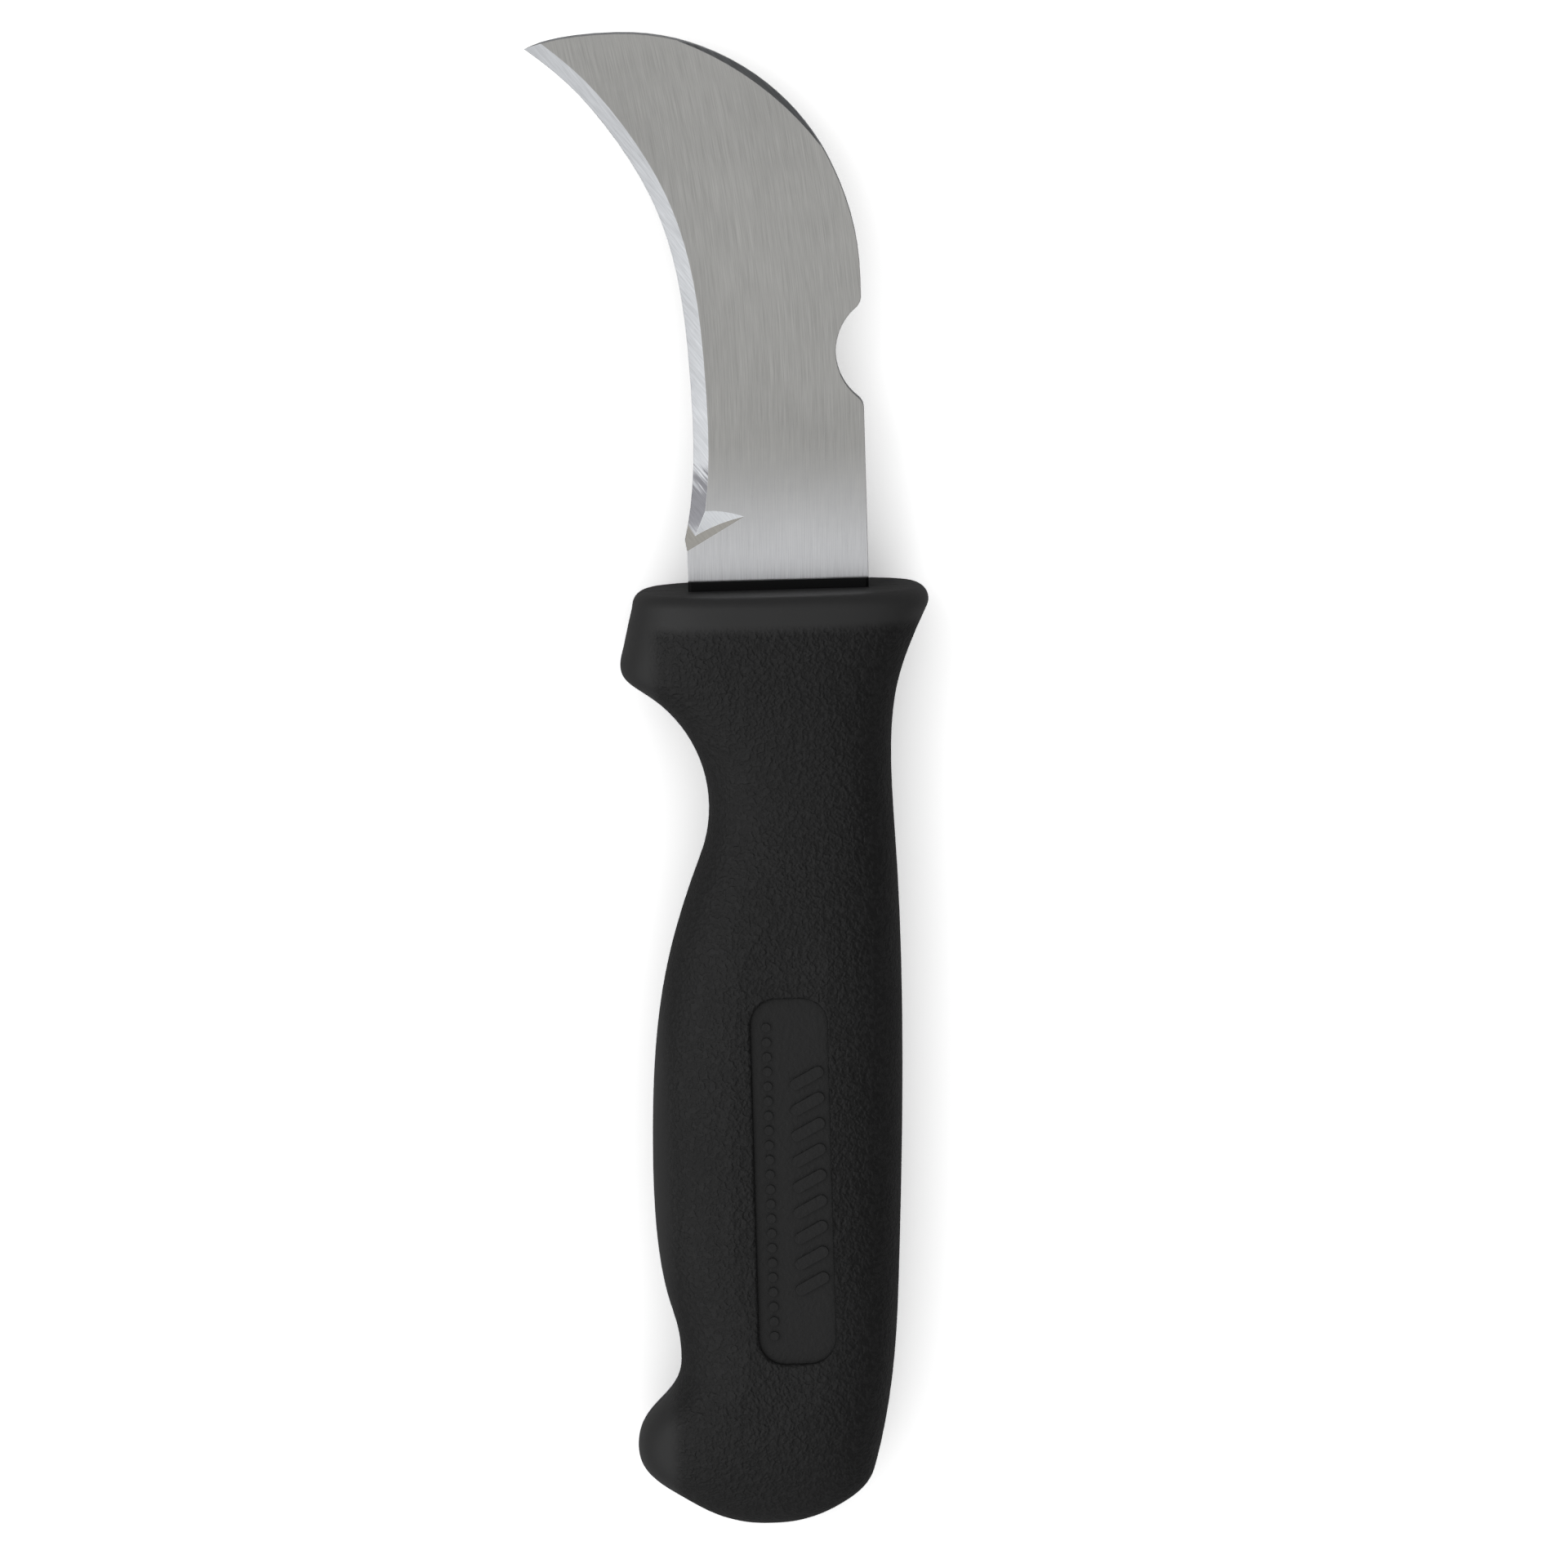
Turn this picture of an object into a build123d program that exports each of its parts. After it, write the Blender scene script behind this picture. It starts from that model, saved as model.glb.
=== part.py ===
# Fixed-blade hook knife for stripping cable sheath: a steel blade with a hidden tang, a hard core
# moulded round the tang, and a soft textured grip moulded over the core.
#
# Frame, in millimetres: +Y runs along the knife towards the hook, +X towards the spine, and +Z is
# up, square to the blade's flat. The knife lies on its side. X = 0 is the middle of the tang,
# Y = 0 is under the palm swell, and Z = 0 is the plane of the grip's lower land, which it rests on.

from build123d import *
import os
from math import cos, radians, sin

# Overall
handle_length = 127.4  # mouth of the grip to the butt
mouth_y = 72.5  # origin to the mouth, where the blade leaves the grip
butt_y = mouth_y - handle_length

# Blade, heights measured up from the mouth
blade_thickness = 2.2
blade_width = 24.3  # at the ricasso, the straight stretch above the grip
heel_flare = 0.25  # how far the heel stands out in front of the ricasso
heel_height = 6.8
hollow_depth = 1.08  # how far the straight stretch of the edge lies behind the ricasso's front
hollow_start = 15.5
hollow_end = 28.5
bend_height = 53.0
bend_reach = 3.4  # from the ricasso's front
hook_height = 64.5
hook_reach = 10.4
tip_height = 73.8
tip_reach = 20.0
crown_height = 75.65  # highest point of the spine
crown_reach = 7.5
hook_back_radius = 31.0
hook_back_start = 25.0  # where the arc begins, in degrees from square across the blade
spine_start = 41.5
crescent_width = 0.8  # flat ground along the hook's back
crescent_turn = 52.0  # direction of its widest place from the arc's centre
crescent_span = 20.0  # from there to each end, round the arc
notch_radius = 7.9
notch_height = 31.7
notch_depth = 3.6
notch_corner = 2.0
edge_land = 0.12  # thickness left at the cutting edge
bevel_width = 2.0

# The grinding wheel's mark at the heel
plunge_angle = 30.0  # of the line where the wheel stopped, from square across the blade
plunge_height = 5.4  # where that line crosses the ricasso's front edge
plunge_slope = 20.0  # run-out of the ground step, from the flat
wheel_radius = 45.0
wheel_bite = 0.58  # deepest cut into the flat
wheel_tilt = 8.0
wheel_reach = 1.6  # ricasso's front edge to the deepest line of the cut

# Tang
tang_end_gap = 31.4  # tang's end to the butt
tang_width = 10.0
shoulder_depth = 8.0  # full blade width goes this far below the mouth
tang_corner = 3.0
lock_hole_radius = 2.3
lock_hole_count = 3
lock_hole_margin = 22.0  # from the shoulder, and from the tang's end

# Core
lip_height = 1.3  # above the mouth
lip_wall = 0.9
core_wall = 2.6  # on the faces of the tang
core_side_wall = 2.0
core_end_wall = 4.0
core_round = 1.4
groove_width = 3.0
groove_depth = 0.9
groove_count = 5
groove_margin = 10.0  # from the core's head, and from its end

# Grip, along the knife: drops measured down from the mouth, rises up from the butt
guard_drop = 9.3
choil_drop = 29.1  # middle of the hollow for the forefinger
swell_drop = 50.5
swell_rise = 53.4  # widest point
palm_rise = 30.9
finger_notch_rise = 23.1  # notch for the little finger
beak_rise = 11.0
beak_foot_rise = 6.95
back_guard_drop = 6.5
back_flare_drop = 12.5
waist_drop = 22.3
back_rise = 92.0
back_palm_rise = 35.0
back_heel_rise = 14.9
back_butt_rise = 6.9

# Grip, across: finger side measured out from the ricasso's front, palm side from the spine
guard_top_front = 7.15
guard_reach = 9.38
guard_corner = 1.9  # drop over which the guard turns towards the finger hollow
guard_corner_draw = 0.24
choil_inset = 1.96
choil_radius = 18.6
choil_upper_turn = 61.0
choil_lower_turn = 22.0
swell_start = 4.2
swell_front = 6.87
palm_front = 5.25
finger_notch = 3.85
beak_reach = 9.98
beak_foot_reach = 8.25
guard_top_back = 9.15
back_guard = 6.0
back_flare = 3.72
waist = 2.4
back_stand = 2.7
back_palm = 1.6
back_heel_inset = 0.56
back_butt_inset = 2.6
butt_x = -4.4  # lowest point of the butt
butt_radius = 19.0
butt_turn = 33.0  # how far round the butt's arc runs on each side

# Grip, thick: half thicknesses
mouth_half = 10.6
guard_half = 11.0
neck_half = 9.7
swell_half = 11.4
pommel_half = 10.5
butt_side_radius = 8.0
butt_side_turn = 52.0
land_depth = 0.3  # swell shaved flat by this much on both sides
level_margin = 4.0  # level stretch of the swell, past each end of the panel
mouth_round = 1.9
butt_round = 2.6
section_fullness = 0.76  # handle length of a section's quarter curves: 0.55 is an ellipse
station_pitch = 1.9  # between the sections that shape the grip
butt_stations = (0.7, 0.44, 0.24, 0.1, 0.03)  # the last sections, as parts of butt_round
rest_height = swell_half - land_depth

# Panel let into the grip's upper land
panel_drop = 54.4
panel_rise = 23.3
panel_width = 10.3
panel_corner = 3.5
panel_depth = 0.9
panel_rim = 0.5
panel_x = -0.25
relief_height = 0.45
rib_margin = 9.2  # panel's end to the first rib
rib_pitch = 3.5
rib_length = 4.9
rib_width = 1.5
rib_slant = 28.0
rib_offset = 2.2  # row to the panel's middle
dot_margin = 3.0
dot_pitch = 2.0
dot_radius = 0.6
dot_offset = 3.1

spine_x = blade_width / 2
front_x = -blade_width / 2
tang_end_y = butt_y + tang_end_gap
shoulder_y = mouth_y - shoulder_depth
mid_plane = Plane.XY.offset(rest_height)
spare = 1.0  # how far a cutting solid runs past what it cuts
far = 2 * handle_length
close = 0.01  # how near a corner or an edge must lie to be the one meant
edge_steps = 16  # straight steps along the cutting edge when it is moved inwards
halvings = 40  # in the search for an outline's place at a height
downward = 270.0
standing = (Align.CENTER, Align.CENTER, Align.MIN)


# Blade


def cutting_edge():
    points = [
        (front_x - heel_flare, mouth_y + heel_height),
        (front_x + hollow_depth, mouth_y + hollow_start),
        (front_x + hollow_depth, mouth_y + hollow_end),
        (front_x - bend_reach, mouth_y + bend_height),
        (front_x - hook_reach, mouth_y + hook_height),
        (front_x - tip_reach, mouth_y + tip_height),
    ]
    return Spline(*points, tangents=[(0.25, 1), (-0.8, 0.6)])


def hook_centre():
    return Vector(front_x - crown_reach, mouth_y + crown_height - hook_back_radius)


def spine_curve():
    """Back of the hook: a lead-in from the straight spine, then an arc to the crown."""
    back = CenterArc(hook_centre(), hook_back_radius, hook_back_start, 90 - hook_back_start)
    lead_in = Spline((spine_x, mouth_y + spine_start), back @ 0, tangents=[(0, 1), back % 0])
    return lead_in, back


def blade_outline():
    edge = cutting_edge()
    lead_in, hook_back = spine_curve()
    nose = Spline(hook_back @ 1, edge @ 1, tangents=[(-1, 0), (-0.92, -0.39)])
    half_tang = tang_width / 2
    back = Polyline(
        lead_in @ 0,
        (spine_x, shoulder_y),
        (half_tang, shoulder_y),
        (half_tang, tang_end_y),
        (-half_tang, tang_end_y),
        (-half_tang, shoulder_y),
        (front_x, shoulder_y),
        (front_x, mouth_y + plunge_height),
        edge @ 0,
    )
    return make_face([edge, nose, hook_back, lead_in, back])


def even_places(start, end, count):
    return [start + (end - start) * number / (count - 1) for number in range(count)]


def lock_holes():
    top = shoulder_y - lock_hole_margin
    bottom = tang_end_y + lock_hole_margin
    return [(0, y) for y in even_places(top, bottom, lock_hole_count)]


def in_front_of_edge(inset, height):
    """Flat region in front of the cutting edge, moved into the blade by inset."""
    edge = cutting_edge()
    line = []
    for step in range(edge_steps + 1):
        along = edge % (step / edge_steps)
        line.append(edge @ (step / edge_steps) + Vector(along.Y, -along.X) * inset)
    start = line[0] - (edge % 0) * 3 * spare
    end = line[-1] + (edge % 1) * 3 * spare
    curve = Spline(start, *line[1:-1], end)
    outside = front_x - tip_reach - 4 * spare
    rest = Polyline(curve @ 1, (outside, (curve @ 1).Y), (outside, (curve @ 0).Y), curve @ 0)
    return mid_plane.offset(height) * make_face([curve, rest])


def grinding():
    """What the bevel and the wheel take off the upper face."""
    flat = blade_thickness / 2
    half_land = edge_land / 2
    spread = bevel_width / (flat - half_land)
    below = in_front_of_edge(-spread * half_land, 0)
    above = in_front_of_edge(spread * (flat - half_land + spare), flat + spare)
    bevel = loft([below, above])
    turn = radians(plunge_angle)
    slope = radians(plunge_slope)
    across = Vector(cos(turn), sin(turn), 0)
    out = Vector(-sin(turn) * sin(slope), cos(turn) * sin(slope), cos(slope))
    start = Vector(front_x, mouth_y + plunge_height, rest_height + flat)
    beyond_plunge = Plane(start, x_dir=across, z_dir=out) * Box(far, far, far, align=standing)
    wheel = Pos(0, -wheel_radius, 0) * Cylinder(wheel_radius, 2 * blade_width, align=standing)
    wheel = Rotation(-90 + wheel_tilt, 0, 0) * wheel
    deepest = start + across * (wheel_reach / cos(turn)) - Vector(0, 0, wheel_bite)
    wheel = Pos(*deepest) * Rotation(0, 0, plunge_angle) * wheel
    return (bevel & beyond_plunge) + (wheel & beyond_plunge)


def crescent():
    """What is ground off the upper edge of the hook's back, widest in its middle."""
    middle = radians(crescent_turn)
    aim = Vector(cos(middle), sin(middle))
    set_back = crescent_width / (1 - cos(radians(crescent_span)))
    radius = hook_back_radius - crescent_width + set_back
    flat = blade_thickness / 2
    cone = Cone(radius + flat, radius - spare, flat + spare, align=standing)
    length = 2.5 * hook_back_radius * sin(radians(crescent_span))
    block = Box(6 * crescent_width, length, flat + spare, align=standing)
    block = Pos(*(hook_centre() + aim * hook_back_radius)) * Rotation(0, 0, crescent_turn) * block
    return Pos(0, 0, rest_height) * (block - Pos(*(hook_centre() - aim * set_back)) * cone)


def make_blade():
    outline = blade_outline()
    notch = Pos(spine_x + notch_radius - notch_depth, mouth_y + notch_height)
    outline -= notch * Circle(notch_radius)
    outline -= Locations(*lock_holes()) * Circle(lock_hole_radius)
    below = outline.vertices().filter_by(lambda v: v.Y < shoulder_y + close)
    outline = fillet(below.filter_by(lambda v: abs(abs(v.X) - tang_width / 2) < close), tang_corner)
    spine = outline.vertices().filter_by(lambda v: abs(v.X - spine_x) < close and v.Y > mouth_y)
    outline = fillet(spine.sort_by(Axis.Y)[:2], notch_corner)
    body = mid_plane.offset(-blade_thickness / 2) * extrude(outline, blade_thickness)
    body -= crescent()
    body -= mirror(crescent(), mid_plane)
    ground = grinding()
    return body - ground - mirror(ground, mid_plane)


# Core


def rounded_bar(width, low_y, high_y, half_height, radius):
    """Bar along Y about the mid-plane, with its four long edges rounded."""
    bar = Pos(0, (low_y + high_y) / 2, rest_height) * Box(width, high_y - low_y, 2 * half_height)
    return fillet(bar.edges().filter_by(Axis.Y), radius)


def groove(middle, width, half_height):
    ring = Pos(0, middle, rest_height) * Box(2 * width, groove_width, 4 * half_height)
    low = middle - groove_width
    high = middle + groove_width
    left = rounded_bar(width - 2 * groove_depth, low, high, half_height - groove_depth, core_round)
    return ring - left


def core_outside():
    half_height = blade_thickness / 2 + core_wall
    stem_width = tang_width + 2 * core_side_wall
    head_width = blade_width + 2 * core_side_wall
    end_y = tang_end_y - core_end_wall
    head_y = shoulder_y - core_side_wall
    stem = rounded_bar(stem_width, end_y, mouth_y - spare, half_height, core_round)
    head = rounded_bar(head_width, head_y, mouth_y - 2 * spare, half_height, core_round)
    lip_half = blade_thickness / 2 + lip_wall
    lip = rounded_bar(blade_width, shoulder_y, mouth_y + lip_height, lip_half, lip_wall / 2)
    for middle in even_places(head_y - groove_margin, end_y + groove_margin, groove_count):
        stem -= groove(middle, stem_width, half_height)
    return stem + head + lip


# Grip


def front_outline():
    """Finger side of the grip, from the mouth to the butt."""
    guard_side = Line(
        (front_x - guard_top_front, mouth_y), (front_x - guard_reach, mouth_y - guard_drop)
    )
    centre = Vector(front_x + choil_inset - choil_radius, mouth_y - choil_drop)
    turn = choil_upper_turn + choil_lower_turn
    choil = CenterArc(centre, choil_radius, choil_upper_turn, -turn)
    corner = Spline(
        guard_side @ 1,
        (guard_side @ 1) + Vector(guard_corner_draw, -guard_corner),
        choil @ 0,
        tangents=[guard_side % 1, choil % 0],
    )
    notch = Vector(front_x - finger_notch, butt_y + finger_notch_rise)
    swell = Spline(
        choil @ 1,
        (front_x - swell_start, mouth_y - swell_drop),
        (front_x - swell_front, butt_y + swell_rise),
        (front_x - palm_front, butt_y + palm_rise),
        notch,
        tangents=[choil % 1, (0, -1)],
    )
    beak = Vector(front_x - beak_reach, butt_y + beak_rise)
    middle = (notch + beak) / 2
    hook = Spline(notch, middle, beak, tangents=[(0, -1), (0, -1)])
    beak_foot = Vector(front_x - beak_foot_reach, butt_y + beak_foot_rise)
    butt_centre = Vector(butt_x, butt_y + butt_radius)
    butt = CenterArc(butt_centre, butt_radius, downward - butt_turn, butt_turn)
    heel = Spline(beak, beak_foot, butt @ 0, tangents=[(0, -1), butt % 0])
    return [guard_side, corner, choil, swell, hook, heel, butt]


def back_outline():
    """Palm side of the grip, from the mouth to the butt."""
    points = [
        (spine_x + guard_top_back, mouth_y),
        (spine_x + back_guard, mouth_y - back_guard_drop),
        (spine_x + back_flare, mouth_y - back_flare_drop),
        (spine_x + waist, mouth_y - waist_drop),
        (spine_x + back_stand, butt_y + back_rise),
        (spine_x + back_palm, butt_y + back_palm_rise),
        (spine_x - back_heel_inset, butt_y + back_heel_rise),
        (spine_x - back_butt_inset, butt_y + back_butt_rise),
    ]
    butt_centre = Vector(butt_x, butt_y + butt_radius)
    butt = CenterArc(butt_centre, butt_radius, downward + butt_turn, -butt_turn)
    return [Spline(*points, butt @ 0, tangents=[(-0.5, -1), butt % 0]), butt]


def side_outline():
    """Half thickness along the grip, drawn with X as the half thickness.

    It stays level past both ends of the panel, so that the panel sinks evenly.
    """
    guard = (guard_half, mouth_y - guard_drop)
    neck = (neck_half, mouth_y - choil_drop)
    level_top = (swell_half, mouth_y - panel_drop + level_margin)
    level_end = (swell_half, butt_y + panel_rise - level_margin)
    pommel = (pommel_half, butt_y + beak_rise)
    butt_centre = Vector(0, butt_y + butt_side_radius)
    butt = CenterArc(butt_centre, butt_side_radius, downward + butt_side_turn, -butt_side_turn)
    return [
        Spline((mouth_half, mouth_y), guard, neck, level_top, tangents=[(0.1, -1), (0, -1)]),
        Line(level_top, level_end),
        Spline(level_end, pommel, butt @ 0, tangents=[(0, -1), butt % 0]),
        butt,
    ]


def reach(outline, height):
    """X of an outline at a height along the knife."""
    for edge in outline:
        if (edge @ 0).Y >= height >= (edge @ 1).Y:
            low = 0.0
            high = 1.0
            for step in range(halvings):
                middle = (low + high) / 2
                if (edge @ middle).Y > height:
                    low = middle
                else:
                    high = middle
            return (edge @ low).X
    raise ValueError("the outline does not pass this height")


def section(height, outlines):
    front, back, side = outlines
    left = reach(front, height)
    right = reach(back, height)
    half = reach(side, height)
    centre = (left + right) / 2
    arm = section_fullness * (right - left) / 2
    rise = section_fullness * half
    sheet = Plane((0, height, rest_height), x_dir=(1, 0, 0), z_dir=(0, -1, 0))
    quarters = [
        Bezier((right, 0), (right, rise), (centre + arm, half), (centre, half)),
        Bezier((centre, half), (centre - arm, half), (left, rise), (left, 0)),
        Bezier((left, 0), (left, -rise), (centre - arm, -half), (centre, -half)),
        Bezier((centre, -half), (centre + arm, -half), (right, -rise), (right, 0)),
    ]
    return sheet * make_face(quarters)


def grip_stations():
    """Heights of the sections that shape the grip, closer together where the butt rounds off."""
    bottom = butt_y + butt_round
    count = round((mouth_y - bottom) / station_pitch)
    last = [butt_y + butt_round * part for part in butt_stations]
    return even_places(mouth_y, bottom, count) + last


def panel_length():
    return handle_length - panel_drop - panel_rise


def panel_middle():
    return mouth_y - panel_drop - panel_length() / 2


def panel_floor():
    return Plane.XY.offset(2 * rest_height - panel_depth)


def row(x, margin, pitch):
    """Places along the panel, a pitch apart and centred."""
    count = int((panel_length() - 2 * margin) / pitch) + 1
    start = panel_middle() - pitch * (count - 1) / 2
    return [Pos(x, start + pitch * number) for number in range(count)]


def make_relief():
    rib = Rotation(0, 0, rib_slant) * SlotOverall(rib_length, rib_width)
    pattern = Sketch() + [place * rib for place in row(panel_x + rib_offset, rib_margin, rib_pitch)]
    dots = row(panel_x - dot_offset, dot_margin, dot_pitch)
    pattern += [place * Circle(dot_radius) for place in dots]
    return extrude(panel_floor() * pattern, relief_height)


def panel_tool():
    """Shape of the panel's hollow, with a plate over it so that its rim flares out to the land."""
    outline = RectangleRounded(panel_width, panel_length(), panel_corner)
    hollow = extrude(Pos(0, 0, -panel_depth) * outline, panel_depth + spare)
    plate = Box(2 * panel_width, panel_length() + panel_width, spare, align=standing)
    tool = hollow + plate
    rim = tool.edges().filter_by(lambda e: abs(e.center().Z) < close)
    rim = rim.filter_by(lambda e: abs(e.center().X) < panel_width / 2 + close)
    rim = rim.filter_by(lambda e: abs(e.center().Y) < panel_length() / 2 + close)
    return Pos(panel_x, panel_middle(), 2 * rest_height) * fillet(rim, panel_rim)


def make_grip_outside():
    outlines = (front_outline(), back_outline(), side_outline())
    body = loft([section(height, outlines) for height in grip_stations()])
    body = fillet(body.faces().sort_by(Axis.Y)[-1].edges(), mouth_round)
    body &= Pos(0, 0, rest_height) * Box(far, far, 2 * rest_height)
    return body - panel_tool() + make_relief()


os.makedirs("parts", exist_ok=True)
blade = make_blade()
core = core_outside() - blade
grip = make_grip_outside() - core_outside() - blade
for name, piece in (("blade", blade), ("core", core), ("grip", grip)):
    piece.label = name
    export_step(piece, f"parts/{name}.step")
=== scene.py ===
from math import cos, radians, sin

import bpy
from mathutils import Matrix, Vector


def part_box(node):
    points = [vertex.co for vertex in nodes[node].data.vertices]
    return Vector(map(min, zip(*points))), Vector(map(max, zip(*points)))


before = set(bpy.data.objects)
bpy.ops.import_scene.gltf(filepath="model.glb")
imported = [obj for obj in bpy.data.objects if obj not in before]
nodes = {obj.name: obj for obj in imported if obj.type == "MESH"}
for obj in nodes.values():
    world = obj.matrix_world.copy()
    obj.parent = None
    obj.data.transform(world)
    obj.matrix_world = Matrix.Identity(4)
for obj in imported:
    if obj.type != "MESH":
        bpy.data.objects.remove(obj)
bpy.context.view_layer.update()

# Hook knife lying on a pale table, seen from above and a little from the hook's end.
# Everything is in metres: +Y runs to the hook, +X to the spine, +Z up.

bladeLow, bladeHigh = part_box("blade")
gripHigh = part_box("grip")[1]
midHeight = (bladeLow.z + bladeHigh.z) / 2
mouthY = gripHigh.y


# Nodes: short ways to make and join them

def newMaterial(name):
    made = bpy.data.materials.new(name)
    made.use_nodes = True
    made.node_tree.nodes.clear()
    return made


def addNode(tree, kind, x, y, **settings):
    made = tree.nodes.new(kind)
    made.location = (x, y)
    for key, value in settings.items():
        setattr(made, key, value)
    return made


def join(tree, source, target):
    tree.links.new(source, target)


def setInputs(node, **values):
    for key, value in values.items():
        node.inputs[key.replace("_", " ")].default_value = value


def giveInput(tree, socket, value):
    # A number or a colour is set on the socket, anything else is joined to it.
    if isinstance(value, (int, float)):
        socket.default_value = value
    elif isinstance(value, tuple):
        socket.default_value = (*value, 1.0)
    else:
        join(tree, value, socket)


def mathNode(tree, operation, x, y, first, second=None):
    made = addNode(tree, "ShaderNodeMath", x, y, operation=operation)
    giveInput(tree, made.inputs[0], first)
    if second is not None:
        giveInput(tree, made.inputs[1], second)
    return made.outputs[0]


def rangeNode(tree, x, y, value, low, high, outLow=0.0, outHigh=1.0, smooth=True):
    kind = "SMOOTHSTEP" if smooth else "LINEAR"
    made = addNode(tree, "ShaderNodeMapRange", x, y, interpolation_type=kind)
    join(tree, value, made.inputs["Value"])
    setInputs(made, From_Min=low, From_Max=high, To_Min=outLow, To_Max=outHigh)
    return made.outputs["Result"]


def mixFloat(tree, x, y, factor, first, second):
    made = addNode(tree, "ShaderNodeMix", x, y)
    for slot, value in ((0, factor), (2, first), (3, second)):
        giveInput(tree, made.inputs[slot], value)
    return made.outputs[0]


def mixColour(tree, x, y, factor, first, second):
    made = addNode(tree, "ShaderNodeMix", x, y, data_type="RGBA")
    for slot, value in ((0, factor), (6, first), (7, second)):
        giveInput(tree, made.inputs[slot], value)
    return made.outputs[2]


def splitVector(tree, x, y, vector):
    made = addNode(tree, "ShaderNodeSeparateXYZ", x, y)
    join(tree, vector, made.inputs[0])
    return made.outputs


def makeVector(tree, x, y, *parts):
    made = addNode(tree, "ShaderNodeCombineXYZ", x, y)
    for slot, value in enumerate(parts):
        join(tree, value, made.inputs[slot])
    return made.outputs[0]


def noiseNode(tree, x, y, vector, scale, **settings):
    made = addNode(tree, "ShaderNodeTexNoise", x, y)
    join(tree, vector, made.inputs["Vector"])
    giveInput(tree, made.inputs["Scale"], scale)
    setInputs(made, **settings)
    return made.outputs["Fac"]


def newGroup(name, inputs, outputs):
    tree = bpy.data.node_groups.new(name, "ShaderNodeTree")
    for label, kind, value in inputs:
        socket = tree.interface.new_socket(label, in_out="INPUT", socket_type=kind)
        if value is not None:
            socket.default_value = value
    for label in outputs:
        tree.interface.new_socket(label, in_out="OUTPUT", socket_type="NodeSocketFloat")
    start = addNode(tree, "NodeGroupInput", -900, 0)
    end = addNode(tree, "NodeGroupOutput", 900, 0)
    return tree, start.outputs, end.inputs


def placeGroup(tree, group, x, y, **values):
    made = addNode(tree, "ShaderNodeGroup", x, y, node_tree=group)
    for key, value in values.items():
        giveInput(tree, made.inputs[key.replace("_", " ")], value)
    return made.outputs


def addOutput(tree, shader):
    output = addNode(tree, "ShaderNodeOutputMaterial", 300, 0)
    join(tree, shader.outputs[0], output.inputs[0])


def finishMaterial(tree, shader, rough, bump):
    join(tree, rough, shader.inputs["Roughness"])
    join(tree, bump.outputs[0], shader.inputs["Normal"])
    addOutput(tree, shader)


# Effects that several finishes use

def makeGrindLines():
    # Fine streaks along one direction: a noise squeezed across the streak.
    tree, given, out = newGroup(
        "grindLines",
        [
            ("Vector", "NodeSocketVector", None),
            ("Angle", "NodeSocketFloat", 0.0),
            ("Across", "NodeSocketFloat", 6000.0),
            ("Along", "NodeSocketFloat", 60.0),
        ],
        ["Fine", "Broad"],
    )
    turn = addNode(tree, "ShaderNodeVectorRotate", -700, 0, rotation_type="Z_AXIS")
    join(tree, given["Vector"], turn.inputs["Vector"])
    join(tree, given["Angle"], turn.inputs["Angle"])
    parts = splitVector(tree, -520, 0, turn.outputs[0])
    for name, share, y in (("Fine", 1.0, 200), ("Broad", 0.2, -200)):
        across = mathNode(tree, "MULTIPLY", -340, y, parts["X"], given["Across"])
        across = mathNode(tree, "MULTIPLY", -180, y, across, share)
        along = mathNode(tree, "MULTIPLY", -340, y - 160, parts["Y"], given["Along"])
        along = mathNode(tree, "MULTIPLY", -180, y - 160, along, share)
        streaks = makeVector(tree, 0, y, across, along, parts["Z"])
        noise = noiseNode(tree, 180, y, streaks, 1.0, Detail=3.0, Roughness=0.6)
        join(tree, noise, out[name])
    return tree


def makeHandling():
    # Uneven sheen from hands and storage: broad patches with fine specks in them.
    patchWeight, speckWeight, speckScale = 0.7, 0.3, 24.0
    tree, given, out = newGroup(
        "handling",
        [
            ("Vector", "NodeSocketVector", None),
            ("Scale", "NodeSocketFloat", 60.0),
            ("Low", "NodeSocketFloat", 0.4),
            ("High", "NodeSocketFloat", 0.6),
        ],
        ["Roughness", "Patches"],
    )
    broad = noiseNode(
        tree, -500, 200, given["Vector"], given["Scale"],
        Detail=5.0, Roughness=0.65, Distortion=0.4,
    )
    fineScale = mathNode(tree, "MULTIPLY", -680, -200, given["Scale"], speckScale)
    fine = noiseNode(tree, -500, -100, given["Vector"], fineScale, Detail=2.0)
    patches = rangeNode(tree, -280, 200, broad, 0.32, 0.68)
    patchShare = mathNode(tree, "MULTIPLY", -120, 240, patches, patchWeight)
    speckShare = mathNode(tree, "MULTIPLY", -280, -100, fine, speckWeight)
    both = mathNode(tree, "ADD", -80, 100, patchShare, speckShare)
    step = mathNode(tree, "SUBTRACT", -80, -120, given["High"], given["Low"])
    result = mathNode(tree, "MULTIPLY", 120, 0, both, step)
    join(tree, mathNode(tree, "ADD", 300, 0, result, given["Low"]), out["Roughness"])
    join(tree, patches, out["Patches"])
    return tree


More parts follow.
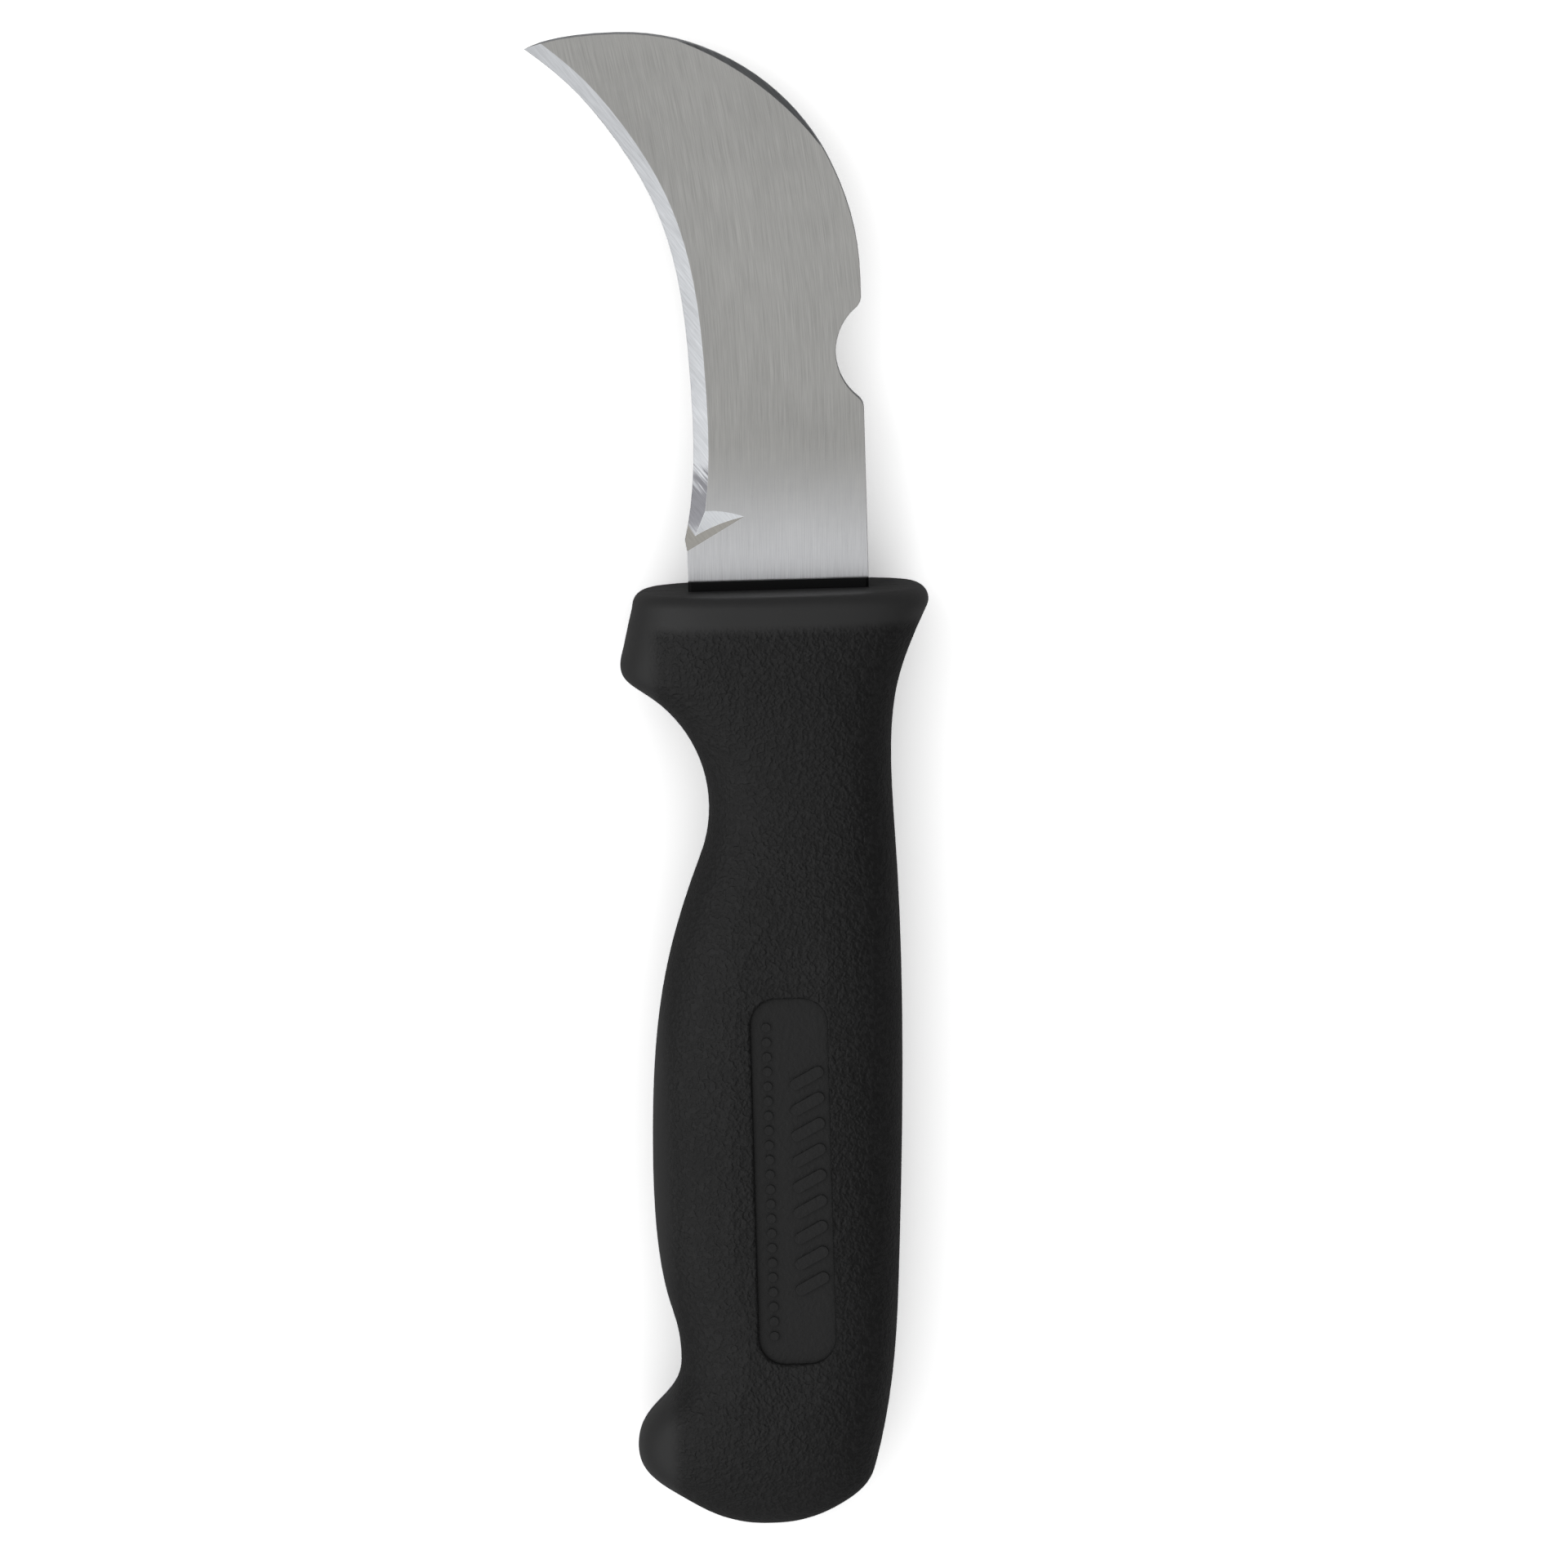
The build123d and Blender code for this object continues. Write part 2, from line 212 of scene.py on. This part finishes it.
def makeMouldGrain():
    # Spark-eroded mould texture: small rounded lumps over a finer tooth.
    lumpWeight, dipWeight, toothWeight = 0.6, 0.28, 0.12
    dipScale, toothScale = 1.6, 4.5  # cells and tooth to one lump
    tree, given, out = newGroup(
        "mouldGrain",
        [
            ("Vector", "NodeSocketVector", None),
            ("Lump", "NodeSocketFloat", 0.0008),
            ("Strength", "NodeSocketFloat", 1.0),
        ],
        ["Height", "Pits"],
    )
    scale = mathNode(tree, "DIVIDE", -700, -100, 1.0, given["Lump"])
    lumps = noiseNode(
        tree, -480, 250, given["Vector"], scale,
        Detail=1.5, Roughness=0.45, Distortion=0.5,
    )
    cells = addNode(tree, "ShaderNodeTexVoronoi", -480, -50, feature="SMOOTH_F1")
    join(tree, given["Vector"], cells.inputs["Vector"])
    cellScale = mathNode(tree, "MULTIPLY", -640, -260, scale, dipScale)
    join(tree, cellScale, cells.inputs["Scale"])
    setInputs(cells, Smoothness=0.6)
    fineScale = mathNode(tree, "MULTIPLY", -640, -420, scale, toothScale)
    tooth = noiseNode(tree, -480, -350, given["Vector"], fineScale, Detail=2.0)
    raised = rangeNode(tree, -260, 250, lumps, 0.35, 0.7)
    dips = rangeNode(tree, -260, -50, cells.outputs["Distance"], 0.15, 0.75)
    raisedShare = mathNode(tree, "MULTIPLY", -80, 260, raised, lumpWeight)
    dipShare = mathNode(tree, "MULTIPLY", -80, 0, dips, dipWeight)
    toothShare = mathNode(tree, "MULTIPLY", -80, -300, tooth, toothWeight)
    body = mathNode(tree, "ADD", -60, 150, raisedShare, dipShare)
    height = mathNode(tree, "ADD", 120, 100, body, toothShare)
    height = mathNode(tree, "MULTIPLY", 300, 100, height, given["Strength"])
    join(tree, height, out["Height"])
    join(tree, mathNode(tree, "SUBTRACT", 300, -100, 1.0, raised), out["Pits"])
    return tree


grindLines = makeGrindLines()
handling = makeHandling()
mouldGrain = makeMouldGrain()
print("effects ready")


# Blade: satin steel, brushed lengthwise, with an obliquely ground bevel along the edge

bladeLook = {
    "steel": (0.480, 0.477, 0.462),
    "heelReflection": (0.800, 0.808, 0.828),  # painted reflection: the paler stretch next to the grip
    "heelEnd": 0.021,  # above the mouth, where the paler stretch has faded out
    "heelStart": 0.0015,
    "bevel": (0.635, 0.650, 0.673),
    "bevelShade": (0.270, 0.270, 0.290),  # painted shade at the foot of the bevel, where the wheel ran out
    "shadeMiddle": 0.0118,  # above the mouth
    "shadeReach": 0.0056,
    "shadeCore": 0.35,  # share of the reach that is fully shaded
    # painted highlight on the wheel's polished scoop
    "scoopHighlight": (0.93, 0.955, 0.99),
    "shoulder": (0.330, 0.320, 0.298),  # painted shade on the shoulder of the wheel's mark
    "markTop": 0.0145,  # above the mouth
    "markSoft": 0.001,
    "raggedness": 0.012,  # how far the streaks push the zones' borders
    "brushLean": 1.5,  # degrees
    "brushAcross": 8200.0,  # streaks per metre
    "brushAlong": 170.0,
    "bendStart": 0.018,  # above the mouth: from here the brushing leans over into the hook
    "bend": 4.2,  # lean gained per metre
    "grindTurn": -38.0,  # degrees, the bevel's own streaks
    "grindAcross": 4200.0,
    "grindAlong": 260.0,
    "fineShare": 0.75,
    "broadShare": 0.25,
    "sheenScale": 42.0,
    "roughLow": 0.27,
    "roughHigh": 0.40,
    "patchTone": (0.94, 1.06),
    "lineTone": (0.84, 1.13),
    "lineRough": (-0.05, 0.06),
    "lineDepth": 0.000012,
    "lineStrength": 0.6,
    "edgeRound": 0.00012,
    "brushed": 0.4,  # how much the reflections stretch across the brushing
}

# How level a face is, as its normal's part along Z, tells the ground faces apart.
faceSlope = {
    "side": (0.9915, 0.9965),  # the blade's flat sides start between these
    "shoulder": (0.905, 0.925),
    "scoop": (0.950, 0.965),
}


def brushPath(tree, spot):
    # The brushing follows the blade: straight by the grip, leaning over in the hook.
    above = mathNode(tree, "SUBTRACT", -1940, -420, spot["Y"], mouthY + bladeLook["bendStart"])
    above = mathNode(tree, "MAXIMUM", -1780, -420, above, 0.0)
    drift = mathNode(tree, "MULTIPLY", -1620, -420, above, above)
    drift = mathNode(tree, "MULTIPLY", -1460, -420, drift, bladeLook["bend"] / 2)
    leaning = mathNode(tree, "ADD", -1460, -240, spot["X"], drift)
    return makeVector(tree, -1300, -300, leaning, spot["Y"], spot["Z"])


def bevelColourAndPaintedLight(tree, tilt, height):
    # Painted shade at the foot, with a painted highlight on the wheel's scoop and painted shade on
    # its shoulder below.
    away = mathNode(tree, "SUBTRACT", -1340, 1100, height, bladeLook["shadeMiddle"])
    away = mathNode(tree, "ABSOLUTE", -1180, 1100, away)
    reach = bladeLook["shadeReach"]
    shade = rangeNode(tree, -1020, 1100, away, reach, reach * bladeLook["shadeCore"])
    edge = mixColour(tree, -760, 1000, shade, bladeLook["bevel"], bladeLook["bevelShade"])
    top = bladeLook["markTop"]
    low = rangeNode(tree, -1180, 1300, height, top + bladeLook["markSoft"], top)
    shoulderShadeMask = rangeNode(tree, -1180, 1460, tilt, *faceSlope["shoulder"])
    shoulderShadeMask = mathNode(tree, "MULTIPLY", -1000, 1300, low, shoulderShadeMask)
    edge = mixColour(tree, -600, 1000, shoulderShadeMask, edge, bladeLook["shoulder"])
    scoopHighlightMask = rangeNode(tree, -1180, 1620, tilt, *faceSlope["scoop"])
    scoopHighlightMask = mathNode(tree, "MULTIPLY", -1000, 1460, low, scoopHighlightMask)
    return mixColour(tree, -440, 1000, scoopHighlightMask, edge, bladeLook["scoopHighlight"])


def makeSteel():
    steel = newMaterial("satinSteel")
    tree = steel.node_tree
    place = addNode(tree, "ShaderNodeTexCoord", -2300, 0).outputs["Object"]
    spot = splitVector(tree, -2120, -300, place)
    shape = addNode(tree, "ShaderNodeNewGeometry", -1700, 300)
    facing = splitVector(tree, -1500, 300, shape.outputs["True Normal"])
    tilt = mathNode(tree, "ABSOLUTE", -1320, 300, facing["Z"])
    flat = rangeNode(tree, -1140, 400, tilt, *faceSlope["side"])

    # Streaks: along the blade on its sides, slanting on the bevel
    bent = brushPath(tree, spot)
    brushed = placeGroup(
        tree, grindLines, -1100, 0, Vector=bent, Angle=radians(bladeLook["brushLean"]),
        Across=bladeLook["brushAcross"], Along=bladeLook["brushAlong"],
    )
    ground = placeGroup(
        tree, grindLines, -1100, -260, Vector=place, Angle=radians(bladeLook["grindTurn"]),
        Across=bladeLook["grindAcross"], Along=bladeLook["grindAlong"],
    )
    fine = mixFloat(tree, -860, 0, flat, ground["Fine"], brushed["Fine"])
    broad = mixFloat(tree, -860, -220, flat, ground["Broad"], brushed["Broad"])
    fine = mathNode(tree, "MULTIPLY", -760, 60, fine, bladeLook["fineShare"])
    broad = mathNode(tree, "MULTIPLY", -760, -120, broad, bladeLook["broadShare"])
    lines = mathNode(tree, "ADD", -660, 0, fine, broad)

    # Tone: a painted reflection makes it paler by the grip, and along the edge the bevel has its
    # colour with painted shade and a painted highlight
    sheen = placeGroup(
        tree, handling, -1100, 620, Vector=bent, Scale=bladeLook["sheenScale"],
        Low=bladeLook["roughLow"], High=bladeLook["roughHigh"],
    )
    height = mathNode(tree, "SUBTRACT", -1500, 900, spot["Y"], mouthY)
    ragged = mathNode(tree, "SUBTRACT", -1660, 1060, lines, 0.5)
    ragged = mathNode(tree, "MULTIPLY", -1500, 1060, ragged, bladeLook["raggedness"])
    height = mathNode(tree, "ADD", -1340, 900, height, ragged)
    # painted reflection: the blade is painted paler towards the grip
    heel = rangeNode(tree, -1140, 900, height, bladeLook["heelEnd"], bladeLook["heelStart"])
    body = mixColour(tree, -900, 800, heel, bladeLook["steel"], bladeLook["heelReflection"])
    colour = mixColour(tree, -560, 600, flat, bevelColourAndPaintedLight(tree, tilt, height), body)
    patch = rangeNode(
        tree, -900, 620, sheen["Patches"], 0.0, 1.0, *bladeLook["patchTone"], smooth=False,
    )
    tone = rangeNode(tree, -500, 120, lines, 0.34, 0.66, *bladeLook["lineTone"], smooth=False)
    tone = mathNode(tree, "MULTIPLY", -340, 200, tone, patch)
    toned = addNode(tree, "ShaderNodeVectorMath", -180, 300, operation="SCALE")
    join(tree, colour, toned.inputs[0])
    join(tree, tone, toned.inputs["Scale"])
    uneven = rangeNode(tree, -480, -100, lines, 0.3, 0.7, *bladeLook["lineRough"], smooth=False)
    rough = mathNode(tree, "ADD", -300, 0, sheen["Roughness"], uneven)

    rounded = addNode(tree, "ShaderNodeBevel", -480, -420, samples=6)
    setInputs(rounded, Radius=bladeLook["edgeRound"])
    bump = addNode(tree, "ShaderNodeBump", -260, -260)
    setInputs(bump, Strength=bladeLook["lineStrength"], Distance=bladeLook["lineDepth"])
    join(tree, lines, bump.inputs["Height"])
    join(tree, rounded.outputs[0], bump.inputs["Normal"])
    tangent = addNode(tree, "ShaderNodeTangent", -240, -460, direction_type="RADIAL", axis="X")
    shader = addNode(tree, "ShaderNodeBsdfPrincipled", 0, 0)
    setInputs(shader, Metallic=1.0, Anisotropic=bladeLook["brushed"])
    join(tree, tangent.outputs[0], shader.inputs["Tangent"])
    join(tree, toned.outputs[0], shader.inputs["Base Color"])
    finishMaterial(tree, shader, rough, bump)
    return steel


# Core: hard glossy black moulding, seen as the lip round the blade's foot

coreLook = {
    "black": (0.0022, 0.0022, 0.0024),
    "specular": 0.14,
    "sheenScale": 160.0,
    "roughLow": 0.34,
    "roughHigh": 0.48,
    "lump": 0.0004,
    "grainShare": 0.3,
    "grainStrength": 0.3,
    "grainDepth": 0.00002,
}


def makeHardBlack():
    black = newMaterial("hardBlack")
    tree = black.node_tree
    place = addNode(tree, "ShaderNodeTexCoord", -900, 0).outputs["Object"]
    sheen = placeGroup(
        tree, handling, -650, 100, Vector=place, Scale=coreLook["sheenScale"],
        Low=coreLook["roughLow"], High=coreLook["roughHigh"],
    )
    grain = placeGroup(
        tree, mouldGrain, -650, -200, Vector=place,
        Lump=coreLook["lump"], Strength=coreLook["grainShare"],
    )
    bump = addNode(tree, "ShaderNodeBump", -300, -200)
    setInputs(bump, Strength=coreLook["grainStrength"], Distance=coreLook["grainDepth"])
    join(tree, grain["Height"], bump.inputs["Height"])
    shader = addNode(tree, "ShaderNodeBsdfPrincipled", 0, 0)
    colour = (*coreLook["black"], 1.0)
    setInputs(shader, Base_Color=colour, Specular_IOR_Level=coreLook["specular"])
    finishMaterial(tree, shader, sheen["Roughness"], bump)
    return black


# Grip: soft black moulding, grained except near the mouth, on the guard's front and in the panel

gripLook = {
    "black": (0.0122, 0.0122, 0.0125),
    "dusty": (0.0170, 0.0170, 0.0174),
    "dustShare": 0.5,
    # paler partly as painted light, where the smooth top and front catch the light
    "smooth": (0.0275, 0.0275, 0.0279),
    # painted shade in the grain's pits
    "pitShade": (0.0030, 0.0030, 0.0031),
    "pitShare": 0.5,
    "specular": 0.30,
    "smoothDepth": 0.0042,  # below the mouth
    "depthFade": (0.0008, 0.0012),  # above and below that line
    "smoothFront": -0.0172,  # the grain has gone in front of this
    "frontFade": (0.0010, 0.0016),
    "panelBox": (-0.0057, 0.0052, -0.0317, 0.0184),  # left, right, low end, high end
    "panelDepth": 0.0009,
    "panelTop": 0.4,  # share of that depth where the floor's finish begins
    "panelSoft": 0.0002,
    "panelSmooth": 0.8,  # how much of the grain the panel loses
    "lump": 0.00068,
    "grainDepth": 0.00017,
    "seamHalf": 0.00022,
    "seamRise": 0.8,  # in grain depths
    "sheenScale": 70.0,
    "roughLow": 0.50,
    "roughHigh": 0.64,
    "bareGloss": 0.08,  # roughness that the smooth zones lose
}


def bandMask(tree, x, y, value, low, high, soft):
    inside = rangeNode(tree, x, y, value, low - soft, low + soft)
    before = rangeNode(tree, x, y - 160, value, high + soft, high - soft)
    return mathNode(tree, "MULTIPLY", x + 180, y, inside, before)


def panelMask(tree, spot):
    # The panel's floor, on the upper face only
    left, right, low, high = gripLook["panelBox"]
    side = gripLook["panelSoft"]
    wide = bandMask(tree, -1900, -640, spot["X"], left, right, side)
    tall = bandMask(tree, -1900, -1000, spot["Y"], low, high, side)
    sunk = gripHigh.z - gripLook["panelDepth"] * gripLook["panelTop"]
    deep = bandMask(tree, -1900, -1360, spot["Z"], sunk - 0.001, sunk, 0.0001)
    across = mathNode(tree, "MULTIPLY", -1660, -700, wide, tall)
    return mathNode(tree, "MULTIPLY", -1500, -700, across, deep)


def makeSoftBlack():
    soft = newMaterial("softBlack")
    tree = soft.node_tree
    place = addNode(tree, "ShaderNodeTexCoord", -2300, 0).outputs["Object"]
    spot = splitVector(tree, -2100, -250, place)

    # Where the mould was textured
    edge = mouthY - gripLook["smoothDepth"]
    over, under = gripLook["depthFade"]
    below = rangeNode(tree, -1700, -250, spot["Y"], edge + over, edge - under)
    front = gripLook["smoothFront"]
    before, after = gripLook["frontFade"]
    behind = rangeNode(tree, -1700, -420, spot["X"], front - before, front + after)
    textured = mathNode(tree, "MULTIPLY", -1500, -300, below, behind)
    lost = mathNode(tree, "MULTIPLY", -1420, -760, panelMask(tree, spot), gripLook["panelSmooth"])
    kept = mathNode(tree, "SUBTRACT", -1340, -600, 1.0, lost)
    grained = mathNode(tree, "MULTIPLY", -1180, -400, textured, kept)

    # Relief: the grain, and the seam where the two mould halves met
    grain = placeGroup(
        tree, mouldGrain, -1100, 0, Vector=place, Lump=gripLook["lump"], Strength=1.0,
    )
    height = mathNode(tree, "MULTIPLY", -800, -60, grain["Height"], grained)
    aside = mathNode(tree, "SUBTRACT", -1300, -900, spot["Z"], midHeight)
    aside = mathNode(tree, "ABSOLUTE", -1140, -900, aside)
    seam = rangeNode(tree, -980, -900, aside, gripLook["seamHalf"], 0.0, 0.0, gripLook["seamRise"])
    height = mathNode(tree, "ADD", -640, -120, height, seam)
    bump = addNode(tree, "ShaderNodeBump", -300, -200)
    setInputs(bump, Strength=1.0, Distance=gripLook["grainDepth"])
    join(tree, height, bump.inputs["Height"])

    # Sheen and colour: the smooth zones are glossier and painted paler, partly as painted light,
    # and the grain's pits get painted shade
    sheen = placeGroup(
        tree, handling, -1100, 320, Vector=place, Scale=gripLook["sheenScale"],
        Low=gripLook["roughLow"], High=gripLook["roughHigh"],
    )
    gloss = mathNode(tree, "SUBTRACT", -900, -300, 1.0, grained)
    gloss = mathNode(tree, "MULTIPLY", -800, -260, gloss, gripLook["bareGloss"])
    rough = mathNode(tree, "SUBTRACT", -600, 200, sheen["Roughness"], gloss)
    dust = mathNode(tree, "MULTIPLY", -620, 0, sheen["Patches"], gripLook["dustShare"])
    colour = mixColour(tree, -420, 200, dust, gripLook["black"], gripLook["dusty"])
    # the smooth zones are painted paler, partly as painted light
    smoothAndLit = mathNode(tree, "SUBTRACT", -560, 460, 1.0, textured)
    colour = mixColour(tree, -330, 340, smoothAndLit, colour, gripLook["smooth"])
    # painted shade darkens the grain's pits
    pitShadeMask = mathNode(tree, "MULTIPLY", -800, 100, grain["Pits"], grained)
    pitShadeMask = mathNode(tree, "MULTIPLY", -400, 20, pitShadeMask, gripLook["pitShare"])
    colour = mixColour(tree, -240, 200, pitShadeMask, colour, gripLook["pitShade"])
    shader = addNode(tree, "ShaderNodeBsdfPrincipled", 0, 0)
    setInputs(shader, Specular_IOR_Level=gripLook["specular"])
    join(tree, colour, shader.inputs["Base Color"])
    finishMaterial(tree, shader, rough, bump)
    return soft


def dress(node, material):
    piece = nodes[node]
    piece.data.materials.clear()
    piece.data.materials.append(material)


dress("blade", makeSteel())
dress("core", makeHardBlack())
dress("grip", makeSoftBlack())
print("finishes on the knife")


# Table: pale, and brighter to the camera than in reflections

tableLook = {"size": 3.0, "paint": (0.36, 0.36, 0.36), "seen": (2.1, 2.1, 2.1)}


def makeTable():
    bpy.ops.mesh.primitive_plane_add(size=tableLook["size"])
    table = bpy.context.object
    table.name = "table"
    paint = newMaterial("palePaint")
    tree = paint.node_tree
    direct = addNode(tree, "ShaderNodeLightPath", -500, 200).outputs["Is Camera Ray"]
    colour = mixColour(tree, -250, 0, direct, tableLook["paint"], tableLook["seen"])
    shader = addNode(tree, "ShaderNodeBsdfDiffuse", 0, 0)
    join(tree, colour, shader.inputs["Color"])
    addOutput(tree, shader)
    table.data.materials.append(paint)


makeTable()


# Light: a room whose reflections are bright to the left and dark to the right, and a softbox

lightLook = {
    "towardsLight": (-0.752, -0.251, 0.610),
    "dark": 0.02,
    "bright": 1.0,
    "darkFrom": -0.20,
    "brightFrom": 1.0,
    "even": 0.66,  # strength for everything but reflections
    "keyPlace": (-1.3, 0.7, 1.6),
    "keySize": 1.4,
    "keyPower": 5.0,
}


def makeRoom():
    world = bpy.data.worlds.new("paleRoom")
    world.use_nodes = True
    tree = world.node_tree
    backdrop = tree.nodes["Background"]
    direction = addNode(tree, "ShaderNodeTexCoord", -900, 0).outputs["Generated"]
    along = addNode(tree, "ShaderNodeVectorMath", -700, 0, operation="DOT_PRODUCT")
    join(tree, direction, along.inputs[0])
    along.inputs[1].default_value = lightLook["towardsLight"]
    shade = rangeNode(
        tree, -500, 0, along.outputs["Value"], lightLook["darkFrom"], lightLook["brightFrom"],
        lightLook["dark"], lightLook["bright"], smooth=False,
    )
    mirrored = addNode(tree, "ShaderNodeLightPath", -500, 300).outputs["Is Glossy Ray"]
    level = mixFloat(tree, -250, 100, mirrored, lightLook["even"], shade)
    join(tree, level, backdrop.inputs["Strength"])
    backdrop.inputs["Color"].default_value = (1.0, 1.0, 1.0, 1.0)
    bpy.context.scene.world = world


def makeSoftbox():
    lamp = bpy.data.lights.new("keyBox", "AREA")
    lamp.shape = "SQUARE"
    lamp.size = lightLook["keySize"]
    lamp.energy = lightLook["keyPower"]
    holder = bpy.data.objects.new("keyBox", lamp)
    bpy.context.scene.collection.objects.link(holder)
    holder.location = lightLook["keyPlace"]
    aim = Vector((0, mouthY / 2, midHeight)) - holder.location
    holder.rotation_euler = aim.to_track_quat("-Z", "Y").to_euler()


makeRoom()
makeSoftbox()


# Camera: long lens above the knife, leaning to the hook's end and turned a little

cameraLook = {
    "tilt": 8.0,  # degrees from straight above
    "turn": 1.6,
    "lens": 600.0,
    "sensor": 36.0,
    "frameWidth": 0.2112,  # metres taken in at the knife
    "aimY": 0.0458,
    "near": 0.05,
    "far": 10.0,
}


def makeCamera():
    lens = bpy.data.cameras.new("camera")
    lens.lens = cameraLook["lens"]
    lens.sensor_width = cameraLook["sensor"]
    lens.clip_start, lens.clip_end = cameraLook["near"], cameraLook["far"]
    distance = cameraLook["frameWidth"] * lens.lens / lens.sensor_width
    tilt = radians(cameraLook["tilt"])
    turn = radians(cameraLook["turn"])
    right = Vector((cos(turn), -sin(turn) * cos(tilt), sin(turn) * sin(tilt)))
    rise = Vector((sin(turn), cos(turn) * cos(tilt), -cos(turn) * sin(tilt)))
    back = Vector((0, sin(tilt), cos(tilt)))
    holder = bpy.data.objects.new("camera", lens)
    bpy.context.scene.collection.objects.link(holder)
    aim = Vector((0, cameraLook["aimY"], midHeight))
    turned = Matrix((right, rise, back)).transposed()
    holder.matrix_world = Matrix.Translation(aim + back * distance) @ turned.to_4x4()
    bpy.context.scene.camera = holder


makeCamera()
bpy.context.scene.view_settings.view_transform = "Standard"
print("table, lights and camera in place")
